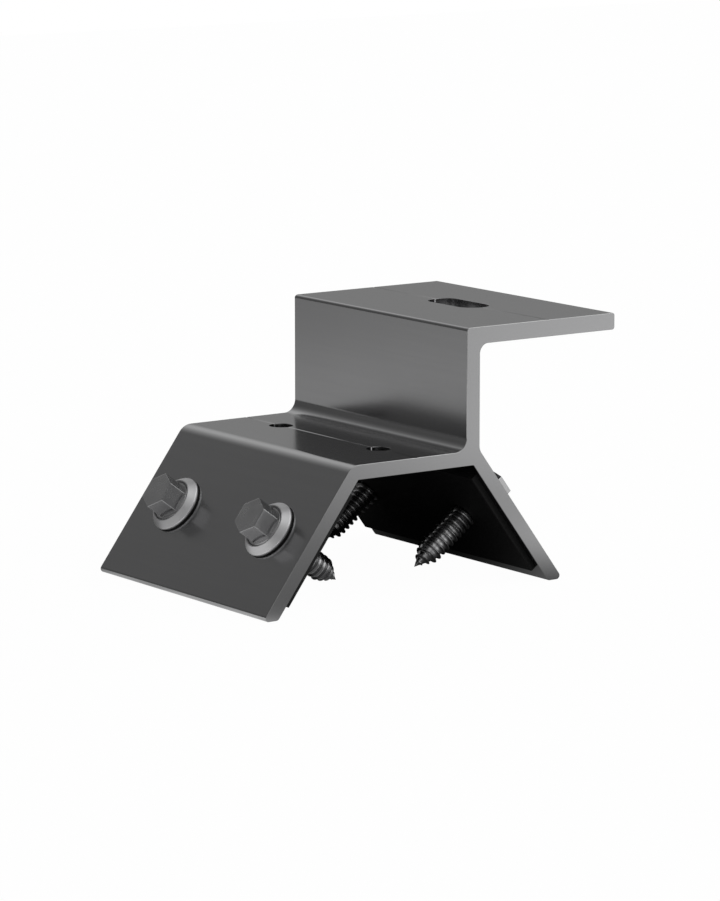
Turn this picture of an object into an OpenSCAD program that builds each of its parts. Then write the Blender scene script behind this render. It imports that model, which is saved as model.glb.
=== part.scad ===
/* [Extrusion] */
// Length of the cut extrusion
bracket_len = 70; // [60:1:140]
// Inner width of the saddle, where the crown of the roof rib sits
crown_w = 32.9; // [26:0.1:60]
// Depth of the space between the legs, from the saddle to the leg ends
rib_depth = 30; // [27:0.5:45]
// Slope of both legs from the horizontal
leg_angle = 53.4; // [48:0.1:64]
// Thickness of the legs
leg_t = 3.5; // [2.8:0.1:5]
// Thickness of the saddle
saddle_t = 3.5; // [2.8:0.1:5]
// Thickness of the upright web
web_t = 3.8; // [3:0.1:6]
// Thickness of the flange
flange_t = 4; // [3:0.1:6]
// Height of the flange top above the saddle top
web_rise = 28.9; // [22:0.1:60]
// Reach of the flange from the left face of the web
flange_reach = 43.7; // [38:0.1:70]

/* [Edges of the extrusion] */
// Rounding of the saddle's left shoulder
shoulder_r = 4; // [1:0.1:5]
// Fillet between the saddle and the web
web_root_r = 3.2; // [1:0.1:5]
// Fillet between the web and the right leg
hip_r = 2.8; // [1:0.1:5]
// Fillet under the flange
flange_root_r = 2.4; // [1:0.1:4]
// Rounding where the web turns into the flange
flange_edge_r = 0.8; // [0.3:0.1:2]
// Rounding of the flange tip
tip_r = 0.6; // [0.2:0.1:1.2]
// Rounding of the outer corner of each leg end
foot_outer_r = 0.9; // [0.3:0.1:1.1]
// Rounding of the inner corner of each leg end
foot_inner_r = 1; // [0.3:0.1:1.4]
// Fillet in the two corners under the saddle
crown_corner_r = 0.3; // [0.2:0.1:1]

/* [Marking grooves] */
// Width of the grooves on the saddle and the flange
groove_w = 0.6; // [0.4:0.1:2]
// Depth of the grooves
groove_d = 0.12; // [0.08:0.02:0.6]

/* [Holes] */
// Diameter of the saddle holes
saddle_hole_d = 5.7; // [4:0.1:8]
// Spacing of the two saddle holes along the extrusion
saddle_hole_pitch = 40; // [20:1:50]
// Width of the flange slot
slot_w = 8.3; // [5:0.1:11]
// Overall length of the flange slot
slot_len = 18.8; // [13:0.1:40]
// Distance of the slot and its groove from the flange tip
slot_edge = 20; // [12:0.1:25]

/* [Seal pads] */
// Thickness of a pad
pad_t = 1.5; // [1:0.1:3]
// Bare leg between the saddle's underside and a pad
pad_top_gap = 3.4; // [1:0.1:6]
// Bare leg between a pad and the leg end
pad_foot_gap = 4; // [2:0.1:8]
// Bare leg between a pad and each end of the extrusion, when the pad is centred
pad_end_gap = 1.25; // [1:0.05:5]
// How far the left pad sits forward of the middle
left_pad_shift = 0.35; // [-1:0.05:1]
// How far the right pad sits back from the middle
right_pad_shift = 0.65; // [-1:0.05:1]

/* [Screws] */
// Distance of each screw from the nearer end of the extrusion
screw_inset = 15.5; // [10:0.5:20]
// How much further back the right leg's screws sit than the left leg's
right_screw_shift = 1.5; // [-3:0.1:3]
// Width across the flats of the hexagon
hex_af = 8; // [7:0.5:9]
// Height of the hexagon above its flange
hex_h = 5; // [3:0.1:6]
// How far the flange under the hexagon stands out past its corners
head_rim = 0.35; // [0.2:0.05:0.4]
// Height of that flange
head_rim_h = 0.4; // [0.3:0.05:0.8]
// Length of the screw under its head
screw_len = 24.8; // [19:0.1:40]
// Outer diameter of the thread
thread_d = 6.3; // [5.4:0.1:6.5]
// Core diameter of the thread
core_d = 4.8; // [3.8:0.1:5]
// Pitch of the thread
thread_pitch = 1.5; // [1.2:0.1:2]
// Plain neck between the head and the thread
neck_len = 1.5; // [0.5:0.1:3]
// Length of the pointed end
point_len = 5; // [3:0.5:8]
// Clearance around the thread in everything that the screw passes through
screw_gap = 0.2; // [0.1:0.05:0.5]

/* [Sealing washers] */
// Outer diameter of the metal washer
washer_d = 14; // [14:0.1:18]
// Thickness of the metal
washer_t = 0.6; // [0.5:0.05:0.8]
// Height of the washer's raised ring above its middle
crest_h = 0.6; // [0.2:0.05:0.8]
// Inner radius of the bend where the ring turns down to the washer's rim
curl_r = 0.2; // [0.1:0.05:0.3]
// Room between the screw's flange and the washer's raised ring
dish_gap = 0.2; // [0.1:0.05:0.3]
// Thickness of the rubber under the middle of the washer
gasket_t = 1.3; // [0.8:0.05:1.6]
// Rubber that shows under the washer's rim
gasket_lip = 0.35; // [0.2:0.05:0.6]

/* [Hidden] */
$fn = 64;
// Overrun of every cutting tool past the face that it cuts
overrun = 1;
// How far a rounding stands off its exact tangent, so that it crosses the flat faces cleanly
standoff = 0.002;
// The left leg slopes to -X and the right leg to +X, and the front end faces -Y
left = -1;
right = 1;
front = -1;
rear = 1;
// Horizontal widths of a leg's wall and of the saddle's edge, along the slope of the leg
leg_run = leg_t / sin(leg_angle);
saddle_run = saddle_t / tan(leg_angle);
// Section in x and z: the saddle's underside is at z = 0, with its middle at x = 0
inner_x = crown_w / 2;
shoulder_x = inner_x + leg_run - saddle_run;
foot_inner_x = inner_x + rib_depth / tan(leg_angle);
foot_outer_x = foot_inner_x + leg_run;
web_x = shoulder_x - web_t;
flange_top = saddle_t + web_rise;
flange_under = flange_top - flange_t;
tip_x = web_x + flange_reach;
slot_x = tip_x - slot_edge;
// Corners of the section, counter-clockwise, each with its radius
outline = [
    [[-shoulder_x, saddle_t], shoulder_r],
    [[-foot_outer_x, -rib_depth], foot_outer_r],
    [[-foot_inner_x, -rib_depth], foot_inner_r],
    [[-inner_x, 0], crown_corner_r],
    [[inner_x, 0], crown_corner_r],
    [[foot_inner_x, -rib_depth], foot_inner_r],
    [[foot_outer_x, -rib_depth], foot_outer_r],
    [[shoulder_x, saddle_t], hip_r],
    [[shoulder_x, flange_under], flange_root_r],
    [[tip_x, flange_under], tip_r],
    [[tip_x, flange_top], tip_r],
    [[web_x, flange_top], flange_edge_r],
    [[web_x, saddle_t], web_root_r]];
// Inner face of a leg, as distances down the leg from its upper outer corner
inner_top = saddle_t * sin(leg_angle) - (leg_run - saddle_run) * cos(leg_angle);
inner_foot = inner_top + rib_depth / sin(leg_angle);
pad_top = inner_top + pad_top_gap;
pad_foot = inner_foot - pad_foot_gap;
pad_middle = (pad_top + pad_foot) / 2;
pad_len = bracket_len - 2 * pad_end_gap;
// Screws, in line with the middle of the pads, and their holes
screw_y = bracket_len / 2 - screw_inset;
screw_hole_r = thread_d / 2 + screw_gap;
core_r = core_d / 2;
thread_h = (thread_d - core_d) / 2;
hex_r = hex_af / sqrt(3);
head_rim_r = hex_r + head_rim;
head_slope_r = hex_r + head_rim / 5;
thread_turns = floor((screw_len - neck_len) / thread_pitch);
// Heights above the leg's outer face, and radii of the washer
washer_top = gasket_t + washer_t;
dish_r = head_rim_r + dish_gap;
rim_r = curl_r + washer_t;
crest_r = washer_d / 2 - rim_r;
rim_z = gasket_t + crest_h - curl_r;

// Unit vector from a to b
function toward(a, b) = (b - a) / norm(b - a);

// How far the screw has tapered at depth z under its head: 1 is full size, 0 is the tip
function taper(z) = min(1, (screw_len - z) / point_len);

// What lies between a corner and the arc of radius r that rounds it
module corner_piece(before, corner, after, r) {
    ua = toward(corner, before);
    ub = toward(corner, after);
    half = acos(ua * ub) / 2;
    reach = r / tan(half);
    centre = corner + toward([0, 0], ua + ub) * r / sin(half);
    difference() {
        polygon([corner, corner + ua * reach, centre, corner + ub * reach]);
        translate(centre) circle(r + standoff);
    }
}

// The corner pieces of the outline that turn outwards (turn = 1) or inwards (turn = -1)
module corner_pieces(turn) {
    n = len(outline);
    for (i = [0 : n - 1]) {
        before = outline[(i + n - 1) % n][0];
        corner = outline[i][0];
        after = outline[(i + 1) % n][0];
        if (turn * cross(corner - before, after - corner) > 0)
            corner_piece(before, corner, after, outline[i][1]);
    }
}

module groove(x, z) {
    side = groove_w / 2;
    polygon([[x, z - groove_d], [x + side, z], [x + side, z + overrun],
        [x - side, z + overrun], [x - side, z]]);
}

module section() {
    difference() {
        union() {
            polygon([for (c = outline) c[0]]);
            corner_pieces(-1);
        }
        corner_pieces(1);
        groove(0, saddle_t);
        groove(slot_x, flange_top);
    }
}

module slot() {
    depth = flange_t + 2 * overrun;
    run = slot_len - slot_w;
    straight_w = slot_w - 2 * standoff;
    translate([slot_x, 0, flange_under - overrun]) {
        translate([-straight_w / 2, -run / 2, 0]) cube([straight_w, run, depth]);
        for (y = [-run / 2, run / 2]) translate([0, y, 0]) cylinder(h = depth, d = slot_w);
    }
}

// Puts its children on the outer face of a leg at a screw, with +Z away from the face
module on_leg(side, end) {
    back = side == right ? right_screw_shift : 0;
    translate([side * shoulder_x, end * screw_y + back, saddle_t])
        rotate([0, side * leg_angle, 0])
            translate([side * pad_middle, 0, 0]) children();
}

// Clearance hole for a screw, through the leg and the pad
module screw_hole(side, end) {
    depth = leg_t + pad_t + 2 * overrun;
    on_leg(side, end) translate([0, 0, overrun - depth]) cylinder(h = depth, r = screw_hole_r);
}

module bracket() {
    color("dimgray") difference() {
        rotate([90, 0, 0]) linear_extrude(height = bracket_len, center = true) section();
        for (y = [-saddle_hole_pitch / 2, saddle_hole_pitch / 2])
            translate([0, y, -overrun]) cylinder(h = saddle_t + 2 * overrun, d = saddle_hole_d);
        slot();
        for (side = [left, right], end = [front, rear]) screw_hole(side, end);
    }
}

// Rubber strip on the inner face of a leg
module seal_pad(side, shift) {
    width = pad_foot - pad_top;
    color("#151515") difference() {
        translate([side * shoulder_x, shift, saddle_t])
            rotate([0, side * leg_angle, 0])
                translate([side * pad_middle - width / 2, -pad_len / 2, -leg_t - pad_t])
                    cube([width, pad_len, pad_t]);
        for (end = [front, rear]) screw_hole(side, end);
    }
}

// One thread ridge for each turn, from the neck to the point, as a turned profile
module screw(side, end) {
    ridges = [for (k = [0 : thread_turns - 1], step = [0, 1, 2])
        let (z = neck_len + (k + step / 4) * thread_pitch)
            [(core_r + (step == 1 ? thread_h : 0)) * taper(z), -z]];
    profile = concat([[0, head_rim_h], [head_slope_r, head_rim_h], [head_rim_r, head_rim_h / 2],
        [head_rim_r, 0], [core_r, 0]], ridges, [[0, -screw_len]]);
    color("slategray") on_leg(side, end) translate([0, 0, washer_top]) {
        rotate_extrude() polygon(profile);
        translate([0, 0, head_rim_h / 2]) cylinder(h = hex_h + head_rim_h / 2, r = hex_r, $fn = 6);
    }
}

// Quarter of a disc above and outside the end of the washer's raised ring
module curl(r) {
    translate([crest_r, rim_z]) intersection() {
        circle(r);
        square(r);
    }
}

// Pressed metal dish: flat middle, raised ring and a rim that turns straight down
module washer(side, end) {
    color("silver") on_leg(side, end) rotate_extrude() {
        polygon([[screw_hole_r, gasket_t], [dish_r, gasket_t], [crest_r, gasket_t + crest_h],
            [crest_r, washer_top + crest_h], [dish_r, washer_top], [screw_hole_r, washer_top]]);
        difference() {
            curl(rim_r);
            curl(curl_r);
        }
        translate([crest_r + curl_r, gasket_lip]) square([washer_t, rim_z - gasket_lip]);
    }
}

// Rubber ring that fills the washer from below, with a lip under its rim
module gasket(side, end) {
    color("#101010") on_leg(side, end) rotate_extrude() {
        polygon([[screw_hole_r, 0], [washer_d / 2, 0], [washer_d / 2, gasket_lip],
            [crest_r + curl_r, gasket_lip], [crest_r + curl_r, rim_z], [crest_r, rim_z], [crest_r, gasket_t + crest_h], [dish_r, gasket_t],
            [screw_hole_r, gasket_t]]);
        curl(curl_r);
    }
}

bracket();
seal_pad(left, -left_pad_shift);  // seal_pad_left
seal_pad(right, right_pad_shift);  // seal_pad_right
screw(left, front);  // screw_left_front
screw(left, rear);  // screw_left_rear
screw(right, front);  // screw_right_front
screw(right, rear);  // screw_right_rear
washer(left, front);  // washer_left_front
washer(left, rear);  // washer_left_rear
washer(right, front);  // washer_right_front
washer(right, rear);  // washer_right_rear
gasket(left, front);  // gasket_left_front
gasket(left, rear);  // gasket_left_rear
gasket(right, front);  // gasket_right_front
gasket(right, rear);  // gasket_right_rear
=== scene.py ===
# Sandwich panel roof bracket: one dark extrusion, four sealing screws with
# pressed washers and rubber gaskets, and a seal pad inside each leg
import math

import bmesh
import bpy
import numpy as np
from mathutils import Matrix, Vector


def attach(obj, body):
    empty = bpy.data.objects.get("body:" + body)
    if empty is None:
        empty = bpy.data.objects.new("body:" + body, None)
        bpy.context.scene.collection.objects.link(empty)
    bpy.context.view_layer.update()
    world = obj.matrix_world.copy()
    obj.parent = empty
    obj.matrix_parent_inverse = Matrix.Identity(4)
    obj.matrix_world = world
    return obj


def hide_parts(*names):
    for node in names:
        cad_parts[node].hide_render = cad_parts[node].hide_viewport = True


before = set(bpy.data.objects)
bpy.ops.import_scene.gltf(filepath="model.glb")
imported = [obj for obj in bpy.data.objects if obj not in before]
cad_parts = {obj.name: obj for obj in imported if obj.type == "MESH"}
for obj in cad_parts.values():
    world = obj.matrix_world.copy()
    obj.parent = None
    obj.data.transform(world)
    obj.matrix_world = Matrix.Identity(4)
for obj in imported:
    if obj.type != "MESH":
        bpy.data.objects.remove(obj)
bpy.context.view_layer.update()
mm = 0.001
left, right, front, rear = -1, 1, -1, 1
sides = {"left": left, "right": right}
ends = {"front": front, "rear": rear}
print("frame loaded:", len(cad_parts), "nodes")

# Sizes of the extrusion in mm
bracket = dict(
    length=70, crownWidth=32.9, ribDepth=30, legAngle=math.radians(53.4), legWall=3.5,
    saddleWall=3.5, webWall=3.8, flangeWall=4, webRise=28.9, flangeReach=43.7,
    shoulderRadius=4, webRootRadius=3.2, hipRadius=2.8, flangeRootRadius=2.4,
    flangeEdgeRadius=0.8, tipRadius=0.6, footOuterRadius=0.9, footInnerRadius=1,
    crownRadius=0.3, grooveWidth=0.6, grooveDepth=0.12, holeRadius=2.85, holePitch=40,
    slotWidth=8.3, slotLength=18.8, slotEdge=20, edgeBreak=0.12, arcStep=math.radians(6),
    holeSteps=96, slotSteps=48, sharpAngle=50)

slope = bracket["legAngle"]
legRun = bracket["legWall"] / math.sin(slope)
saddleRun = bracket["saddleWall"] / math.tan(slope)
innerX = bracket["crownWidth"] / 2
shoulderX = innerX + legRun - saddleRun
footInnerX = innerX + bracket["ribDepth"] / math.tan(slope)
footOuterX = footInnerX + legRun
saddleTop = bracket["saddleWall"]
webX = shoulderX - bracket["webWall"]
flangeTop = saddleTop + bracket["webRise"]
flangeUnder = flangeTop - bracket["flangeWall"]
tipX = webX + bracket["flangeReach"]
slotX = tipX - bracket["slotEdge"]
halfLength = bracket["length"] / 2

pad = dict(
    thickness=1.5, topGap=3.4, footGap=4, endGap=1.25, leftShift=-0.35, rightShift=0.65,
    edgeRadius=0.3, edgeSteps=7, holeRadius=3.35, holeSteps=64, dip=0.16, dipWidth=1.1,
    rows=60, columns=120, cutterEnds=(-7, -2), sharpAngle=40)
innerTop = saddleTop * math.sin(slope) - (legRun - saddleRun) * math.cos(slope)
innerFoot = innerTop + bracket["ribDepth"] / math.sin(slope)
padTop = innerTop + pad["topGap"]
padFoot = innerFoot - pad["footGap"]
padMiddle = (padTop + padFoot) / 2

screw = dict(
    inset=15.5, rightShift=1.5, hexWidth=8, hexHeight=5, rim=0.35, rimHeight=0.4, length=24.8,
    threadRadius=3.15, coreRadius=2.4, pitch=1.5, neck=1.5, point=5, edgeBreak=0.13,
    cornerRadius=0.15, cornerSteps=5, flatSteps=8, flatFrom=1.4, mergeDistance=2e-6,
    sharpAngle=38, threadTurn=math.radians(-61), hexTurns={"left_rear": math.radians(2.6)})
# The ridge in half a pitch: distance from the crest as a share of it, and height there as a
# share of the ridge's; it rises over startTurns turns, and ends endGap short of the tip over
# endRun mm, with tipShare of its height left in the point
ridge = dict(
    away=[1, 0.75, 0.56, 0.42, 0.31, 0.23, 0.15, 0.07],
    height=[0, 0, 0.02, 0.08, 0.24, 0.52, 0.86, 1],
    startTurns=0.6, endGap=0.9, endRun=1.2, tipShare=0.35)
washer = dict(
    outer=7, metal=0.6, crest=0.6, bore=3.35, dishEnd=5.0, around=128,
    slantAngle=42, crestRound=0.3, skirtRound=0.5, crestAt=5.45, sharpAngle=50)
gasket = dict(
    thickness=1.3, lip=0.35, edgeRadius=0.12, clearance=0.02, foldHeight=0.7, foldRun=0.15,
    boreHeight=0.9, snug=0.99)
# An edge break has a step at breakShare of its width, smallBreak serves hidden and tiny edges,
# and cutters pass the faces by cutterOverrun
breakShare, smallBreak, cutterOverrun = 0.3, 0.1, 0.6


# Place of a screw along Y, in mm: the right leg's pair sits further back
def screwAt(side, end):
    return end * (halfLength - screw["inset"]) + (screw["rightShift"] if side == right else 0)


# Local points in mm, +Z away from the leg's outer face, placed on a leg at y, in metres:
# moved down the slope, turned by the leg's angle about Y, then moved to the shoulder
def onLeg(points, side, y):
    turn = side * slope
    x, z = points[:, 0] + side * padMiddle, points[:, 2]
    return np.stack([
        side * shoulderX + x * math.cos(turn) + z * math.sin(turn),
        y + points[:, 1],
        saddleTop - x * math.sin(turn) + z * math.cos(turn)], axis=1) * mm


# A mesh object at the origin from an array of points in metres and a list of faces,
# with doubled points merged and empty faces taken away
def addPiece(name, points, faces, mergeDistance=1e-7):
    mesh = bpy.data.meshes.new(name)
    mesh.from_pydata(points.tolist(), [], faces)
    work = bmesh.new()
    work.from_mesh(mesh)
    bmesh.ops.remove_doubles(work, verts=work.verts, dist=mergeDistance)
    bmesh.ops.dissolve_degenerate(work, edges=work.edges, dist=mergeDistance)
    bmesh.ops.recalc_face_normals(work, faces=work.faces)
    work.to_mesh(mesh)
    work.free()
    piece = bpy.data.objects.new(name, mesh)
    bpy.context.scene.collection.objects.link(piece)
    return piece


# Quads of a grid with rows * columns points, whose last column joins the first unless
# closeColumns is off
def gridFaces(rows, columns, closeColumns=True):
    row = np.arange(rows - 1)[:, None]
    column = np.arange(columns if closeColumns else columns - 1)[None, :]
    following = (column + 1) % columns
    quads = np.stack([
        row * columns + column, row * columns + following,
        (row + 1) * columns + following, (row + 1) * columns + column], axis=-1)
    return quads.reshape(-1, 4).tolist()


# Smooth shading that keeps the flat faces flat: sharp edges by angle, then normals
# weighted by face area
def smoothEdges(piece, sharpAngle):
    piece.data.shade_smooth()
    piece.data.set_sharp_from_angle(angle=math.radians(sharpAngle))
    weighted = piece.modifiers.new("flatFaces", "WEIGHTED_NORMAL")
    weighted.keep_sharp = True
    weighted.weight = 100


# The piece's mesh becomes what its modifiers make of it
def applyModifiers(piece):
    graph = bpy.context.evaluated_depsgraph_get()
    made = bpy.data.meshes.new_from_object(piece.evaluated_get(graph))
    piece.modifiers.clear()
    piece.data = made


# Takes the closed cutter pieces out of the piece, one after the other
def cutWith(piece, cutters):
    for cutter in cutters:
        cut = piece.modifiers.new("cut", "BOOLEAN")
        cut.operation, cut.solver, cut.object = "DIFFERENCE", "EXACT", cutter
    applyModifiers(piece)
    for cutter in cutters:
        bpy.data.objects.remove(cutter)


# section of the extrusion

# Closed outline through [x, z, radius] corners, given counter-clockwise: each corner
# becomes an arc tangent to both sides, and the whole is moved inwards by inset
def roundedOutline(corners, inset, step):
    corners = np.array(corners, float)
    before, after = np.roll(corners, 1, axis=0), np.roll(corners, -1, axis=0)
    outline = []
    for (bx, bz, _), (cx, cz, radius), (ax, az, _) in zip(before, corners, after):
        here = np.array([cx, cz])
        toBefore = np.array([bx, bz]) - here
        toAfter = np.array([ax, az]) - here
        toBefore /= np.linalg.norm(toBefore)
        toAfter /= np.linalg.norm(toAfter)
        half = math.acos(np.clip(toBefore @ toAfter, -1, 1)) / 2
        turn = toAfter[0] * -toBefore[1] + toAfter[1] * toBefore[0]
        outward = 1 if turn < 0 else -1
        middle = (toBefore + toAfter) / np.linalg.norm(toBefore + toAfter)
        centre = here + middle * radius / math.sin(half)
        if radius == 0:
            outline.append([here + middle * outward * inset / math.sin(half)])
            continue
        begin = math.atan2(*(here + toBefore * radius / math.tan(half) - centre)[::-1])
        sweep = outward * (math.pi - 2 * half)
        angle = begin + sweep * np.linspace(0, 1, math.ceil(abs(sweep) / step) + 1)
        reach = radius - outward * inset
        outline.append(centre + reach * np.stack([np.cos(angle), np.sin(angle)], axis=1))
    return np.concatenate(outline)


# Corners of the section with their radii, the two marking grooves among them
def sectionCorners():
    b = bracket
    side, depth = b["grooveWidth"] / 2, b["grooveDepth"]
    return [
        [-shoulderX, saddleTop, b["shoulderRadius"]],
        [-footOuterX, -b["ribDepth"], b["footOuterRadius"]],
        [-footInnerX, -b["ribDepth"], b["footInnerRadius"]],
        [-innerX, 0, b["crownRadius"]],
        [innerX, 0, b["crownRadius"]],
        [footInnerX, -b["ribDepth"], b["footInnerRadius"]],
        [footOuterX, -b["ribDepth"], b["footOuterRadius"]],
        [shoulderX, saddleTop, b["hipRadius"]],
        [shoulderX, flangeUnder, b["flangeRootRadius"]],
        [tipX, flangeUnder, b["tipRadius"]],
        [tipX, flangeTop, b["tipRadius"]],
        [slotX + side, flangeTop, 0], [slotX, flangeTop - depth, 0], [slotX - side, flangeTop, 0],
        [webX, flangeTop, b["flangeEdgeRadius"]],
        [webX, saddleTop, b["webRootRadius"]],
        [side, saddleTop, 0], [0, saddleTop - depth, 0], [-side, saddleTop, 0]]


# Closed solid through outlines of equal count at the given heights, with flat ends;
# seat turns [u, v, height] in mm into metres
def loft(name, outlines, heights, seat):
    rings = np.concatenate([
        np.column_stack([outline, np.full(len(outline), height)])
        for outline, height in zip(outlines, heights)])
    columns = len(outlines[0])
    faces = gridFaces(len(outlines), columns)
    faces.append(list(range(columns))[::-1])
    faces.append(list(range(len(rings) - columns, len(rings))))
    return addPiece(name, seat(rings), faces)


def alongY(points):
    return np.stack([points[:, 0], points[:, 2], points[:, 1]], axis=1) * mm


def upright(x, y):
    return lambda points: (points + [x, y, 0]) * mm


# Cutter whose mouths at the heights low and high open at 45 degrees by flare
def flaredCutter(name, makeOutline, low, high, flare, seat):
    over = cutterOverrun
    heights = [low - over, low + flare, high - flare, high + over]
    grow = [flare + over, 0, 0, flare + over]
    return loft(name, [makeOutline(g) for g in grow], heights, seat)


def circleOutline(radius, count):
    angle = np.linspace(0, 2 * math.pi, count, endpoint=False)
    return lambda grow: (radius + grow) * np.stack([np.cos(angle), np.sin(angle)], axis=1)


# Slot with round ends along Y, as two half circles joined by straight sides
def slotOutline(width, length, count):
    angle = np.linspace(0, math.pi, count)
    run = (length - width) / 2

    def outline(grow):
        radius = width / 2 + grow
        upper = np.stack([radius * np.cos(angle), run + radius * np.sin(angle)], axis=1)
        return np.concatenate([upper, -upper])

    return outline


# Sharp edges along the flanks of both marking grooves, so that they catch the light
def keepGroovesCrisp(body):
    b, mesh, near = bracket, body.data, 0.01
    points = np.empty(len(mesh.vertices) * 3)
    mesh.vertices.foreach_get("co", points)
    points = points.reshape(-1, 3) / mm
    pairs = np.empty(len(mesh.edges) * 2, dtype=int)
    mesh.edges.foreach_get("vertices", pairs)
    first, second = pairs.reshape(-1, 2).T
    inGroove = np.zeros(len(points), dtype=bool)
    for x, z in ((0, saddleTop), (slotX, flangeTop)):
        inGroove |= (np.abs(points[:, 0] - x) < b["grooveWidth"] / 2 + near) \
            & (points[:, 2] > z - b["grooveDepth"] - near) & (points[:, 2] < z + near)
    straight = np.abs(points[first, 0] - points[second, 0]) < near / 10
    crisp = np.empty(len(mesh.edges), dtype=bool)
    mesh.edges.foreach_get("use_edge_sharp", crisp)
    crisp |= inGroove[first] & inGroove[second] & straight
    mesh.edges.foreach_set("use_edge_sharp", crisp)


def makeBracket():
    b = bracket
    edge, part = b["edgeBreak"], b["edgeBreak"] * breakShare
    insets = [edge, part, 0, 0, part, edge]
    heights = [-halfLength, -halfLength + part, -halfLength + edge,
               halfLength - edge, halfLength - part, halfLength]
    outlines = [roundedOutline(sectionCorners(), inset, b["arcStep"]) for inset in insets]
    body = loft("bracketBody", outlines, heights, alongY)
    cutters = [
        flaredCutter("slotCutter", slotOutline(b["slotWidth"], b["slotLength"], b["slotSteps"]),
                     flangeUnder, flangeTop, edge, upright(slotX, 0))]
    for y in (-b["holePitch"] / 2, b["holePitch"] / 2):
        cutters.append(flaredCutter("holeCutter", circleOutline(b["holeRadius"], b["holeSteps"]),
                                    0, saddleTop, edge, upright(0, y)))
    legHole = circleOutline(pad["holeRadius"], pad["holeSteps"])
    for side in sides.values():
        for end in ends.values():
            cutters.append(flaredCutter(
                "legCutter", legHole, -b["legWall"], 0, edge,
                lambda points, side=side, y=screwAt(side, end): onLeg(points, side, y)))
    cutWith(body, cutters)
    smoothEdges(body, b["sharpAngle"])
    keepGroovesCrisp(body)
    return body


# screws: a rounded hexagon over a round rim, a helical thread and a point

# Points round the hexagon's outline: arcs at its corners, even steps on its flats
def hexOutline():
    s = screw
    apothem, radius = s["hexWidth"] / 2, s["cornerRadius"]
    centre = (apothem - radius) / math.cos(math.pi / 6)

    def onCorner(corner, angle):
        return centre * np.array([math.cos(corner), math.sin(corner)]) \
            + radius * np.stack([np.cos(angle), np.sin(angle)], axis=-1)

    outline = []
    for k in range(6):
        corner, following = math.radians(60 * k), math.radians(60 * k) + math.pi / 3
        spread = np.linspace(-math.pi / 6, math.pi / 6, s["cornerSteps"])
        rounded = onCorner(corner, corner + spread)
        flatEnd = onCorner(following, following - math.pi / 6)
        steps = np.linspace(0, 1, s["flatSteps"] + 2)[1:-1, None]
        outline += [rounded, rounded[-1] * (1 - steps) + flatEnd * steps]
    return np.concatenate(outline)


# Rings down from the head's top to the neck, then a helical ribbon: a point at turn t and
# place w across the ridge lies at depth neck + pitch * (t + w), and its radius is the core's
# plus the ridge's height, both shrinking in the point
def makeScrew(name, side, y, hexTurn):
    s = screw
    hexagon = hexOutline()
    theta = np.unwrap(np.arctan2(hexagon[:, 1], hexagon[:, 0]))
    count = len(theta)
    unit = np.stack([np.cos(theta), np.sin(theta)], axis=1)
    top = s["rimHeight"] + s["hexHeight"]
    apothem, edge = s["hexWidth"] / 2, s["edgeBreak"]
    rim = s["hexWidth"] / math.sqrt(3) + s["rim"]

    def hexRing(inset, z):
        return np.column_stack([hexagon * (1 - inset / apothem), np.full(count, z)])

    def roundRing(radius, z):
        return np.column_stack([unit * radius, np.full(count, z)])

    part, small, core = edge * breakShare, smallBreak, s["coreRadius"]
    rings = [hexRing(apothem, top), hexRing(edge * s["flatFrom"], top), hexRing(edge, top),
             hexRing(part, top - part), hexRing(0, top - edge),
             hexRing(0, s["rimHeight"] + small), hexRing(-small / 2, s["rimHeight"]),
             roundRing(rim - small, s["rimHeight"]), roundRing(rim, s["rimHeight"] - small),
             roundRing(rim, small / 2), roundRing(rim - small / 2, 0), roundRing(core + small * 2, 0),
             roundRing(core, -small * 2), roundRing(core, -s["neck"])]
    head = np.concatenate(rings)
    head[:, :2] = head[:, :2] @ np.array(
        [[math.cos(hexTurn), math.sin(hexTurn)], [-math.sin(hexTurn), math.cos(hexTurn)]])
    headFaces = gridFaces(len(rings), count)

    away, height = np.array(ridge["away"]), np.array(ridge["height"])
    across = np.concatenate([0.5 - away / 2, 0.5 + away[::-1] / 2])
    height = np.concatenate([height, height[::-1]])
    turns = math.ceil((s["length"] - s["neck"]) / s["pitch"]) + 1
    turnAt = (np.arange(-1, turns)[:, None] + (theta - theta[0])[None, :] / (2 * math.pi)).ravel()
    turnAt = np.append(turnAt, float(turns))
    around = hexTurn + s["threadTurn"] - np.append(np.tile(theta, turns + 1), theta[0])
    depth = s["neck"] + s["pitch"] * (turnAt[:, None] + across[None, :])
    depth = np.clip(depth, s["neck"], s["length"])
    taper = np.clip((s["length"] - depth) / s["point"], 0, 1)
    fadeIn = np.clip((depth - s["neck"]) / (ridge["startTurns"] * s["pitch"]), 0, 1)
    fadeOut = np.clip((s["length"] - ridge["endGap"] - depth) / ridge["endRun"], 0, 1)
    standing = (s["threadRadius"] - core) * height[None, :] * fadeIn * fadeOut
    radius = core * taper + standing * (ridge["tipShare"] + (1 - ridge["tipShare"]) * taper)
    ribbon = np.stack([
        radius * np.cos(around)[:, None], radius * np.sin(around)[:, None], -depth], axis=-1)
    ribbonFaces = gridFaces(len(turnAt), len(across), closeColumns=False)
    points = np.concatenate([head, ribbon.reshape(-1, 3)])
    points[:, 2] += gasket["thickness"] + washer["metal"]
    faces = headFaces + (np.array(ribbonFaces) + len(head)).tolist()
    piece = addPiece(name, onLeg(points, side, y), faces, s["mergeDistance"])
    smoothEdges(piece, s["sharpAngle"])
    return piece


# washers and gaskets: turned profiles

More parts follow.
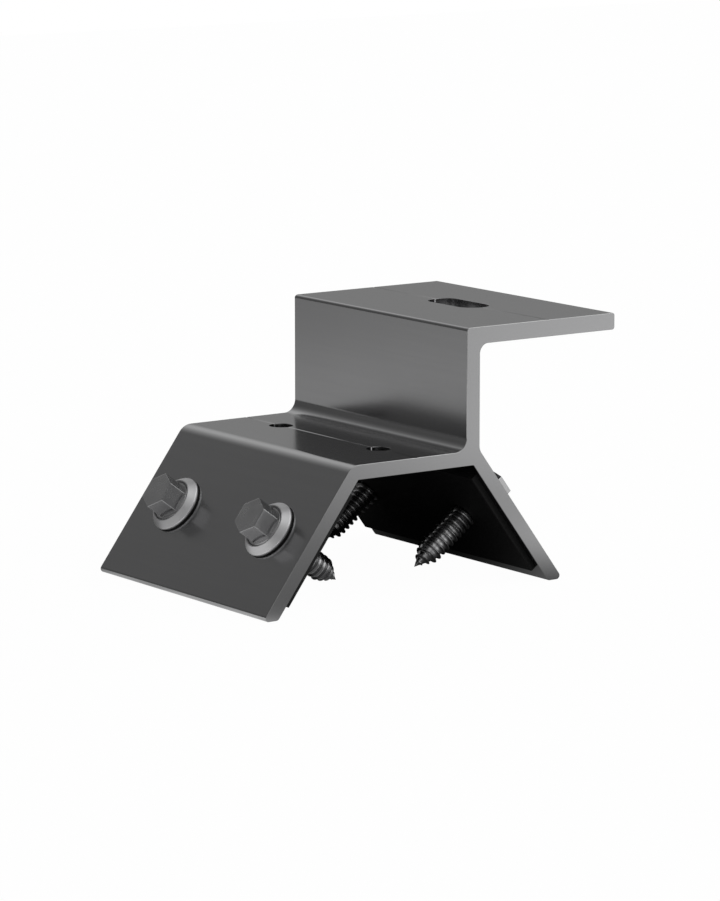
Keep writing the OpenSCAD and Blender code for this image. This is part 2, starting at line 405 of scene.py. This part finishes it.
# Closed ring: each [radius, height] point of the profile turned about the screw's axis
def revolve(name, profile, side, y):
    around = washer["around"]
    angle = np.linspace(0, 2 * math.pi, around, endpoint=False)
    radius, height = profile[:, 0][:, None], profile[:, 1][:, None]
    rings = np.stack([
        radius * np.cos(angle), radius * np.sin(angle), height + 0 * angle], axis=-1)
    faces = gridFaces(len(profile), around)
    closing = np.array(gridFaces(2, around))
    last = (len(profile) - 1) * around
    closing = np.where(closing < around, closing + last, closing - around)
    ring = addPiece(name, onLeg(rings.reshape(-1, 3), side, y), faces + closing.tolist())
    smoothEdges(ring, washer["sharpAngle"])
    return ring


def arc(cx, cz, radius, start, stop, count):
    angle = np.radians(np.linspace(start, stop, count))
    return np.stack([cx + radius * np.cos(angle), cz + radius * np.sin(angle)], axis=1)


# From one level to another with flat ends, by half a cosine wave
def easeCurve(x0, z0, x1, z1, count):
    t = np.linspace(0, 1, count)
    return np.stack([x0 + (x1 - x0) * t, z0 + (z1 - z0) * (1 - np.cos(math.pi * t)) / 2], axis=1)


# Centre of the small arc along the top of the washer's raised ring
def ringCentre():
    w = washer
    return w["crestAt"], gasket["thickness"] + w["metal"] + w["crest"] - w["crestRound"]


# Flat dish, a raised ring with a slanting outer face, and a short skirt on the gasket's lip;
# slantAngle is the angle of the slanting face's normal above the leg, in degrees
def washerProfile():
    w, small = washer, smallBreak
    outer, bore, lip = w["outer"], w["bore"], gasket["lip"]
    under, top = gasket["thickness"], gasket["thickness"] + w["metal"]
    inside, underCrest = outer - w["metal"], under + w["crest"] - small
    ringX, ringZ = ringCentre()
    slant, skirtX = math.radians(w["slantAngle"]), outer - w["skirtRound"]
    skirtZ = ringZ + (w["crestRound"] - w["skirtRound"]
                      + (ringX - skirtX) * math.cos(slant)) / math.sin(slant)
    return np.concatenate([
        [[bore, under + small], [bore, top - small], [bore + small, top]],
        easeCurve(w["dishEnd"], top, ringX, top + w["crest"], 12),
        arc(ringX, ringZ, w["crestRound"], 80, w["slantAngle"], 6),
        arc(skirtX, skirtZ, w["skirtRound"], w["slantAngle"], 0, 6),
        [[outer, lip + small], [outer - small, lip], [inside, lip], [inside, skirtZ],
         [ringX, underCrest]],
        easeCurve(ringX - small, underCrest, w["dishEnd"], under, 10),
        [[bore + small, under]]])


# Flat ring that fills the washer from below, with a lip under the skirt; rubberTop is kept a
# little under the metal
def gasketProfile():
    w, g, small = washer, gasket, smallBreak
    outer, bore, edge = w["outer"], w["bore"], g["edgeRadius"]
    inner = outer - w["metal"] - g["clearance"]
    rubberTop, lipTop = g["thickness"] * g["snug"], g["lip"] * g["snug"]
    return np.concatenate([
        [[bore + small, 0], [outer - edge, 0]],
        arc(outer - edge, edge, edge, -60, 0, 5),
        [[outer, lipTop], [inner, lipTop], [inner, g["foldHeight"]],
         [ringCentre()[0] - small, g["thickness"] + w["crest"] - 2 * small],
         [w["dishEnd"] + g["foldRun"], rubberTop], [bore + small, rubberTop],
         [bore, g["thickness"] * g["boreHeight"]], [bore, small]]])


# seal pads: cellular rubber strips with rounded edges, drawn in a little at the screws

# A closed slab whose exposed face lies at its own thickness at each point: a quarter round
# along the rim, and a shallow dip around each screw
def makePad(name, side):
    p = pad
    shift = p["leftShift"] if side == left else p["rightShift"]
    width, length = padFoot - padTop, bracket["length"] - 2 * p["endGap"]
    edge = p["edgeRadius"]

    def spread(size, count):
        corner = edge * (1 - np.cos(np.linspace(0, math.pi / 2, p["edgeSteps"])))
        inner = np.linspace(edge, size - edge, count)
        return np.concatenate([corner[:-1], inner, (size - corner[:-1])[::-1]]) - size / 2

    u, v = spread(width, p["rows"]), spread(length, p["columns"])
    uu, vv = np.meshgrid(u, v, indexing="ij")
    near = np.minimum(width / 2 - np.abs(uu), length / 2 - np.abs(vv))
    fall = np.clip(1 - near / edge, 0, 1)
    thick = p["thickness"] - edge * (1 - np.sqrt(1 - fall ** 2))
    for end in ends.values():
        away = np.hypot(uu, vv + shift - screwAt(side, end))
        thick -= p["dip"] * np.exp(-((away - p["holeRadius"]) / p["dipWidth"]) ** 2)
    rows, columns = len(u), len(v)
    face = np.full(uu.shape, -float(bracket["legWall"]))
    exposed = np.stack([uu, vv + shift, face - thick], axis=-1).reshape(-1, 3)
    seated = np.stack([uu, vv + shift, face], axis=-1).reshape(-1, 3)
    top = np.array(gridFaces(rows, columns, closeColumns=False))
    bottom = top[:, ::-1] + rows * columns
    index = np.arange(rows * columns).reshape(rows, columns)
    rim = np.concatenate([index[0, :-1], index[:-1, -1], index[-1, :0:-1], index[:0:-1, 0]])
    following = np.roll(rim, -1)
    walls = np.stack([rim, following, following + rows * columns, rim + rows * columns], axis=1)
    faces = top.tolist() + bottom.tolist() + walls.tolist()
    body = addPiece(name, onLeg(np.concatenate([exposed, seated]), side, 0), faces)
    hole = circleOutline(p["holeRadius"], p["holeSteps"])(0)
    cutters = [
        loft("padCutter", [hole, hole], p["cutterEnds"],
             lambda points, y=screwAt(side, end): onLeg(points, side, y))
        for end in ends.values()]
    cutWith(body, cutters)
    smoothEdges(body, p["sharpAngle"])
    return body


print("building the extrusion")
bracketBody = makeBracket()
pieces = {"bracket": bracketBody}
for sideName, side in sides.items():
    pieces[f"seal_pad_{sideName}"] = makePad(f"sealPad_{sideName}", side)
    for endName, end in ends.items():
        spot, y = f"{sideName}_{endName}", screwAt(side, end)
        hexTurn = screw["hexTurns"].get(spot, 0)
        pieces[f"screw_{spot}"] = makeScrew(f"sealingScrew_{spot}", side, y, hexTurn)
        pieces[f"washer_{spot}"] = revolve(f"pressedWasher_{spot}", washerProfile(), side, y)
        pieces[f"gasket_{spot}"] = revolve(f"rubberGasket_{spot}", gasketProfile(), side, y)
for node, piece in pieces.items():
    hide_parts(node)
    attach(piece, "root")
print("pieces built:", len(pieces))


# materials

# Shader node group with named inputs (label, kind, value) and outputs (label, kind)
def newGroup(name, inputs, outputs):
    group = bpy.data.node_groups.new(name, "ShaderNodeTree")
    for label, kind, value in inputs:
        socket = group.interface.new_socket(label, in_out="INPUT", socket_type="NodeSocket" + kind)
        if value is not None:
            socket.default_value = value
    for label, kind in outputs:
        group.interface.new_socket(label, in_out="OUTPUT", socket_type="NodeSocket" + kind)
    return group, group.nodes.new("NodeGroupInput"), group.nodes.new("NodeGroupOutput")


# A node with its settings; links maps an input's name or number to a value or a socket
def add(tree, kind, links=None, **settings):
    node = tree.nodes.new("ShaderNode" + kind)
    for setting, value in settings.items():
        setattr(node, setting, value)
    return connect(tree, node, links or {})


# Gives the node's inputs their values, and links those that come from a socket
def connect(tree, node, links):
    for label, value in links.items():
        if isinstance(value, bpy.types.NodeSocket):
            tree.links.new(value, node.inputs[label])
        else:
            node.inputs[label].default_value = value
    return node


# Output of a Math node on one or two values or sockets
def combine(tree, operation, first, second=0.0):
    return add(tree, "Math", {0: first, 1: second}, operation=operation).outputs[0]


# A value from low to high carried over smoothly to the range from toLow to toHigh
def ramp(tree, value, low, high, toLow=0.0, toHigh=1.0):
    return add(tree, "MapRange", {0: value, 1: low, 2: high, 3: toLow, 4: toHigh},
               interpolation_type="SMOOTHSTEP").outputs[0]


# Two heights or masks laid over each other, the second with the given share
def blend(tree, first, second, share):
    return combine(tree, "ADD", combine(tree, "MULTIPLY", first, 1 - share),
                   combine(tree, "MULTIPLY", second, share))


# Fine lines that the die leaves along Y: noise stretched 80 times along the extrusion
def drawnLines():
    group, given, made = newGroup("drawnLines", [
        ("Vector", "Vector", None), ("Fine", "Float", 5200.0), ("Broad", "Float", 900.0)],
        [("Height", "Float"), ("Mask", "Float")])
    stretched = add(group, "VectorMath", {0: given.outputs["Vector"], 1: (1, 1 / 80, 1)},
                    operation="MULTIPLY").outputs[0]
    fine = add(group, "TexNoise", {
        "Vector": stretched, "Scale": given.outputs["Fine"], "Detail": 2.0})
    broad = add(group, "TexNoise", {
        "Vector": stretched, "Scale": given.outputs["Broad"], "Detail": 3.0})
    group.links.new(blend(group, fine.outputs[0], broad.outputs[0], 0.6), made.inputs["Height"])
    group.links.new(ramp(group, broad.outputs[0], 0.35, 0.65), made.inputs["Mask"])
    return group


# Marks of a saw blade: noise along the distance from the blade's centre
def sawnArcs():
    group, given, made = newGroup("sawnArcs", [
        ("Vector", "Vector", None), ("Centre", "Vector", (-0.16, 0, -0.2)),
        ("Scale", "Float", 2600.0)], [("Height", "Float")])
    away = add(group, "VectorMath", {0: given.outputs["Vector"], 1: given.outputs["Centre"]},
               operation="DISTANCE").outputs["Value"]
    noise = add(group, "TexNoise", {"W": combine(group, "MULTIPLY", away, given.outputs["Scale"]),
                                    "Scale": 1.0, "Detail": 3.0}, noise_dimensions="1D")
    group.links.new(noise.outputs[0], made.inputs["Height"])
    return group


# Uneven film of the finish: two sizes of soft noise, as a mask around a half
def cloudyFilm():
    group, given, made = newGroup("cloudyFilm", [
        ("Vector", "Vector", None), ("Scale", "Float", 60.0)], [("Mask", "Float")])
    large = add(group, "TexNoise", {"Vector": given.outputs["Vector"],
                                    "Scale": given.outputs["Scale"], "Detail": 4.0})
    small = add(group, "TexNoise", {
        "Vector": given.outputs["Vector"], "Detail": 3.0,
        "Scale": combine(group, "MULTIPLY", given.outputs["Scale"], 14.0)})
    group.links.new(blend(group, large.outputs[0], small.outputs[0], 0.35), made.inputs["Mask"])
    return group


# Skin of cellular rubber: small cells with a fine grain between them
def poreSkin():
    group, given, made = newGroup("poreSkin", [
        ("Vector", "Vector", None), ("Scale", "Float", 1900.0)],
        [("Height", "Float"), ("Mask", "Float")])
    cells = add(group, "TexVoronoi", {"Vector": given.outputs["Vector"],
                                      "Scale": given.outputs["Scale"]})
    grain = add(group, "TexNoise", {
        "Vector": given.outputs["Vector"], "Detail": 4.0,
        "Scale": combine(group, "MULTIPLY", given.outputs["Scale"], 1.7)})
    pores = ramp(group, cells.outputs["Distance"], 0.1, 0.45)
    group.links.new(blend(group, pores, grain.outputs[0], 0.4), made.inputs["Height"])
    group.links.new(pores, made.inputs["Mask"])
    return group


groups = {make.__name__: make() for make in (drawnLines, sawnArcs, cloudyFilm, poreSkin)}


# One of the groups above, with its inputs
def useGroup(tree, name, links):
    node = tree.nodes.new("ShaderNodeGroup")
    node.node_tree = groups[name]
    return connect(tree, node, links)


# Material with a Principled BSDF; finish gives the plain values of its own sockets
def newMaterial(name, finish):
    material = bpy.data.materials.new(name)
    material.use_nodes = True
    tree = material.node_tree
    shader = tree.nodes["Principled BSDF"]
    for label, value in finish.items():
        shader.inputs[label].default_value = value
    coordinates = tree.nodes.new("ShaderNodeTexCoord").outputs["Object"]
    return material, tree, shader, coordinates


# Colour between two greys by the mask, each written as one number and a touch bluish
def tint(tree, low, high, mask):
    lowColour, highColour = ((grey, grey, grey * 1.01, 1) for grey in (low, high))
    return add(tree, "Mix", {0: mask, 6: lowColour, 7: highColour}, data_type="RGBA").outputs[2]


def bumpFrom(tree, shader, height, distance):
    node = add(tree, "Bump", {"Strength": 1.0, "Distance": distance, "Height": height})
    tree.links.new(node.outputs[0], shader.inputs["Normal"])


# Greys are linear, film and skin are scales of noise for a metre, depths are in metres, and
# spreads are shares up and down of a grey or a roughness
# The last grey of the anodised finish is the lighter grey of a painted highlight on the edge breaks
anodised = dict(grey=0.32, variation=0.006, roughness=0.19, roughVariation=0.012, film=55.0,
                lineDepth=5e-7, sawDepth=1e-6, highlightGrey=0.42)
steel = dict(film=240.0, greySpread=0.07, roughSpread=0.15)
rubber = dict(roughness=0.65, specular=0.3, greySpread=0.25)
# The middle range sets where the film lets the painted edge highlight show
filmRange, highlightRange, toneRange = (0.3, 0.7), (0.42, 0.6), (0.35, 0.65)


# Dark anodised aluminium, with die lines along the extrusion or saw marks on its ends, and a painted
# highlight in a lighter grey on the edge breaks beside the ends
def anodisedMaterial(name, sawn):
    a = anodised
    material, tree, shader, at = newMaterial(name, {"Metallic": 1.0})
    film = useGroup(tree, "cloudyFilm", {"Vector": at, "Scale": a["film"]}).outputs["Mask"]
    if sawn:
        marks = useGroup(tree, "sawnArcs", {"Vector": at})
        height, mask, depth = marks.outputs["Height"], film, a["sawDepth"]
    else:
        marks = useGroup(tree, "drawnLines", {"Vector": at})
        height, depth = marks.outputs["Height"], a["lineDepth"]
        mask = combine(tree, "MULTIPLY", combine(tree, "ADD", marks.outputs["Mask"], film), 0.5)
    tone = tint(tree, a["grey"] - a["variation"], a["grey"] + a["variation"], mask)
    # Painted highlight: the edge breaks beside the sawn ends turn a lighter grey, in patches that
    # follow the film
    highlightFaces = add(tree, "Attribute", attribute_name="paintedEdgeHighlight").outputs["Fac"]
    edge = combine(tree, "MULTIPLY", highlightFaces, ramp(tree, film, *highlightRange))
    worked = add(tree, "Mix", {0: edge, 6: tone, 7: (a["highlightGrey"],) * 3 + (1,)}, data_type="RGBA")
    tree.links.new(worked.outputs[2], shader.inputs["Base Color"])
    rough = ramp(tree, film, *filmRange, a["roughness"] - a["roughVariation"],
                 a["roughness"] + a["roughVariation"])
    tree.links.new(rough, shader.inputs["Roughness"])
    bumpFrom(tree, shader, height, depth)
    return material


# Plated steel: a cloudy film in its tone, roughness and height
def steelMaterial(name, grey, roughness, depth):
    material, tree, shader, at = newMaterial(name, {"Metallic": 1.0})
    spread, roughSpread = steel["greySpread"], steel["roughSpread"] * roughness
    film = useGroup(tree, "cloudyFilm", {"Vector": at, "Scale": steel["film"]}).outputs["Mask"]
    tone = tint(tree, grey * (1 - spread), grey * (1 + spread), ramp(tree, film, *toneRange))
    rough = ramp(tree, film, *filmRange, roughness - roughSpread, roughness + roughSpread)
    tree.links.new(tone, shader.inputs["Base Color"])
    tree.links.new(rough, shader.inputs["Roughness"])
    bumpFrom(tree, shader, film, depth)
    return material


# Black rubber: cells with a fine grain, a little darker in the middle of each cell
def rubberMaterial(name, grey, skin, depth):
    material, tree, shader, at = newMaterial(name, {
        "Roughness": rubber["roughness"], "Specular IOR Level": rubber["specular"]})
    spread = rubber["greySpread"]
    pores = useGroup(tree, "poreSkin", {"Vector": at, "Scale": skin})
    tone = tint(tree, grey * (1 - spread), grey * (1 + spread), pores.outputs["Mask"])
    tree.links.new(tone, shader.inputs["Base Color"])
    bumpFrom(tree, shader, pores.outputs["Height"], depth)
    return material


finishes = {
    "bracket": (anodisedMaterial("anodisedExtrusion", False), "anodised_aluminium"),
    "seal": (rubberMaterial("padRubber", grey=0.004, skin=1900.0, depth=6e-5), "pad_rubber"),
    "screw": (steelMaterial("darkScrewSteel", grey=0.44, roughness=0.25, depth=3e-7), "screw_steel"),
    "washer": (steelMaterial("washerSteel", grey=0.6, roughness=0.5, depth=6e-7), "washer_steel"),
    "gasket": (rubberMaterial("gasketRubber", grey=0.006, skin=3200.0, depth=2e-5), "gasket_rubber")}
for node, piece in pieces.items():
    material, slotName = finishes[node.split("_")[0]]
    piece.data.materials.clear()
    piece.data.materials.append(material)


# The sawn ends have a material of their own, and the narrow edge breaks beside them a mask for a
# painted highlight
def finishEnds(mesh):
    mesh.materials.append(anodisedMaterial("anodisedSawnEnds", True))
    normals, centres = np.empty(len(mesh.polygons) * 3), np.empty(len(mesh.polygons) * 3)
    mesh.polygons.foreach_get("normal", normals)
    mesh.polygons.foreach_get("center", centres)
    facing, fromMiddle = np.abs(normals[1::3]), np.abs(centres[1::3]) / mm
    isEnd = (facing > 0.999) & (fromMiddle > halfLength - 0.01)
    onBreak = (fromMiddle > halfLength - bracket["edgeBreak"]) & ~isEnd
    mesh.polygons.foreach_set("material_index", isEnd.astype(np.int32))
    highlightLayer = mesh.attributes.new("paintedEdgeHighlight", "FLOAT", "FACE")
    highlightLayer.data.foreach_set("value", onBreak.astype(np.float32))


finishEnds(bracketBody.data)
print("finishes laid on")

# Glows in the world: azimuth from -Y towards +X and elevation in degrees, strength
# Painted pools of light that reflections see glowing in the floor: x, y and radius in mm, strength
# Painted shadow, where the floor's glow is dark under the part: x, y and radius in mm
studio = dict(
    floorSize=3.0, floorShadow=0.02, tightness=14.0,
    glows=[
        (30, 8, 1.11), (60, 8, 0.22), (90, 8, 0.17), (120, 8, 0.41), (240, 8, 0.36),
        (54, 32, 0.83), (90, 32, 1.29), (162, 32, 0.8), (198, 32, 0.11), (306, 32, 0.08),
        (342, 32, 0.28), (0, 56, 0.8), (51, 56, 2.3), (206, 56, 0.06), (325, 15, 0.45),
        (180, -4, 0.5)],
    pools=[
        (180, -160, 120, 0.97), (-160, 190, 120, 0.47), (420, -380, 260, 1.52),
        (-380, 420, 260, 0.56), (-200, -200, 150, 2.38), (-75, -10, 30, 0.33),
        (-120, -50, 45, 0.94), (80, -70, 35, 0.7), (-50, -27, 14, 0.8), (-50, 0, 14, 0.8),
        (-50, 27, 14, 0.8), (200, 180, 130, 0.7), (0, 300, 120, 0.5)],
    shade=(18, 10, 42))


# Unit vector towards an azimuth, from -Y to +X, and an elevation, both in degrees
def towards(azimuth, elevation):
    a, e = math.radians(azimuth), math.radians(elevation)
    return math.sin(a) * math.cos(e), -math.cos(a) * math.cos(e), math.sin(e)


# White for the camera; for every other ray a few soft glows, each falling off with the angle
# from its direction as exp(tightness * (cosine - 1))
def worldLight():
    world = bpy.data.worlds.new("studioWorld")
    bpy.context.scene.world = world
    world.use_nodes = True
    tree = world.node_tree
    around = tree.nodes.new("ShaderNodeTexCoord").outputs["Generated"]
    direction = add(tree, "VectorMath", {0: around}, operation="NORMALIZE").outputs[0]
    total = 0.0
    for azimuth, elevation, strength in studio["glows"]:
        cosine = add(tree, "VectorMath", {0: direction, 1: towards(azimuth, elevation)},
                     operation="DOT_PRODUCT").outputs["Value"]
        fall = combine(tree, "EXPONENT", combine(
            tree, "MULTIPLY", combine(tree, "SUBTRACT", cosine, 1.0), studio["tightness"]))
        total = combine(tree, "ADD", combine(tree, "MULTIPLY", fall, strength), total)
    seen = tree.nodes.new("ShaderNodeLightPath").outputs["Is Camera Ray"]
    level = add(tree, "Mix", {0: seen, 2: total, 3: 1.0}, data_type="FLOAT").outputs[0]
    background = tree.nodes["Background"]
    tree.links.new(level, background.inputs["Strength"])
    background.inputs["Color"].default_value = (1, 1, 1, 1)


# Brightness of the floor's glow in reflections: painted pools of light that fall off as
# exp(-(distance / radius) ** 2), and a painted shadow under the part with a steeper edge
def paintedFloorLight(tree):
    at = tree.nodes.new("ShaderNodeTexCoord").outputs["Object"]

    def falloff(x, y, radius, power):
        away = add(tree, "VectorMath", {0: at, 1: (x * mm, y * mm, -bracket["ribDepth"] * mm)},
                   operation="DISTANCE").outputs["Value"]
        share = combine(tree, "POWER", combine(tree, "DIVIDE", away, radius * mm), power)
        return combine(tree, "EXPONENT", combine(tree, "MULTIPLY", share, -1.0))

    total = 0.0
    for x, y, radius, strength in studio["pools"]:
        fall = falloff(x, y, radius, 2.0)
        total = combine(tree, "ADD", combine(tree, "MULTIPLY", fall, strength), total)
    # Painted shadow: the floor's glow is taken away under the part
    shaded = falloff(*studio["shade"], 4.0)
    return combine(tree, "MULTIPLY", total, combine(tree, "SUBTRACT", 1.0, shaded))


# Pale floor at the feet: white to the camera, with floorShadow as the share that takes the part's
# shadow, and glowing in reflections in painted pools of light with a painted shadow under the part;
# seen from below it isn't there
def makeFloor():
    half = studio["floorSize"] / 2
    z = -bracket["ribDepth"] * mm
    mesh = bpy.data.meshes.new("studioFloor")
    mesh.from_pydata([(-half, -half, z), (half, -half, z), (half, half, z), (-half, half, z)], [],
                     [(0, 1, 2, 3)])
    floor = bpy.data.objects.new("studioFloor", mesh)
    bpy.context.scene.collection.objects.link(floor)
    material = bpy.data.materials.new("paleFloor")
    material.use_nodes = True
    tree = material.node_tree
    tree.nodes.remove(tree.nodes["Principled BSDF"])
    output = tree.nodes["Material Output"]
    path = tree.nodes.new("ShaderNodeLightPath")
    direct = combine(tree, "MAXIMUM", path.outputs["Is Camera Ray"],
                     path.outputs["Is Transmission Ray"])
    brightness = add(tree, "Mix", {0: direct, 2: paintedFloorLight(tree), 3: 1.0},
                     data_type="FLOAT").outputs[0]
    diffuse = add(tree, "BsdfDiffuse", {"Color": (0.9, 0.9, 0.9, 1)})
    white = add(tree, "Emission", {"Color": (1, 1, 1, 1), "Strength": brightness})
    seen = combine(tree, "MAXIMUM", combine(tree, "MULTIPLY", direct, 1 - studio["floorShadow"]),
                   path.outputs["Is Glossy Ray"])
    lit = add(tree, "MixShader", {0: seen, 1: diffuse.outputs[0], 2: white.outputs[0]})
    below = add(tree, "MixShader", {
        0: tree.nodes.new("ShaderNodeNewGeometry").outputs["Backfacing"], 1: lit.outputs[0],
        2: tree.nodes.new("ShaderNodeBsdfTransparent").outputs[0]})
    tree.links.new(below.outputs[0], output.inputs["Surface"])
    floor.data.materials.append(material)


camera = dict(focalPixels=4241.76, frameHeight=901, azimuth=-35.5704, elevation=9.9306,
              aimAt=(14.470, -35.0, 3.5), aimRight=106.885, aimUp=-0.922, depth=984.23,
              sensor=36, clip=(0.01, 20))


# The photograph's view: the point aimAt lies aimRight and aimUp pixels from the middle
# of the frame, and depth mm away along the view
def makeCamera():
    c = camera
    data = bpy.data.cameras.new("photoCamera")
    data.sensor_width = c["sensor"]
    data.lens = c["focalPixels"] * data.sensor_width / c["frameHeight"]
    turn = Vector(towards(c["azimuth"], c["elevation"])).to_track_quat("Z", "Y")
    offset = Vector((c["aimRight"], c["aimUp"], -c["focalPixels"])) * (c["depth"] / c["focalPixels"])
    shot = bpy.data.objects.new("photoCamera", data)
    shot.rotation_mode = "QUATERNION"
    shot.rotation_quaternion = turn
    shot.location = (Vector(c["aimAt"]) - turn @ offset) * mm
    data.clip_start, data.clip_end = c["clip"]
    bpy.context.scene.collection.objects.link(shot)
    bpy.context.scene.camera = shot


worldLight()
makeFloor()
makeCamera()
bpy.context.scene.view_settings.view_transform = "Standard"
print("studio set")
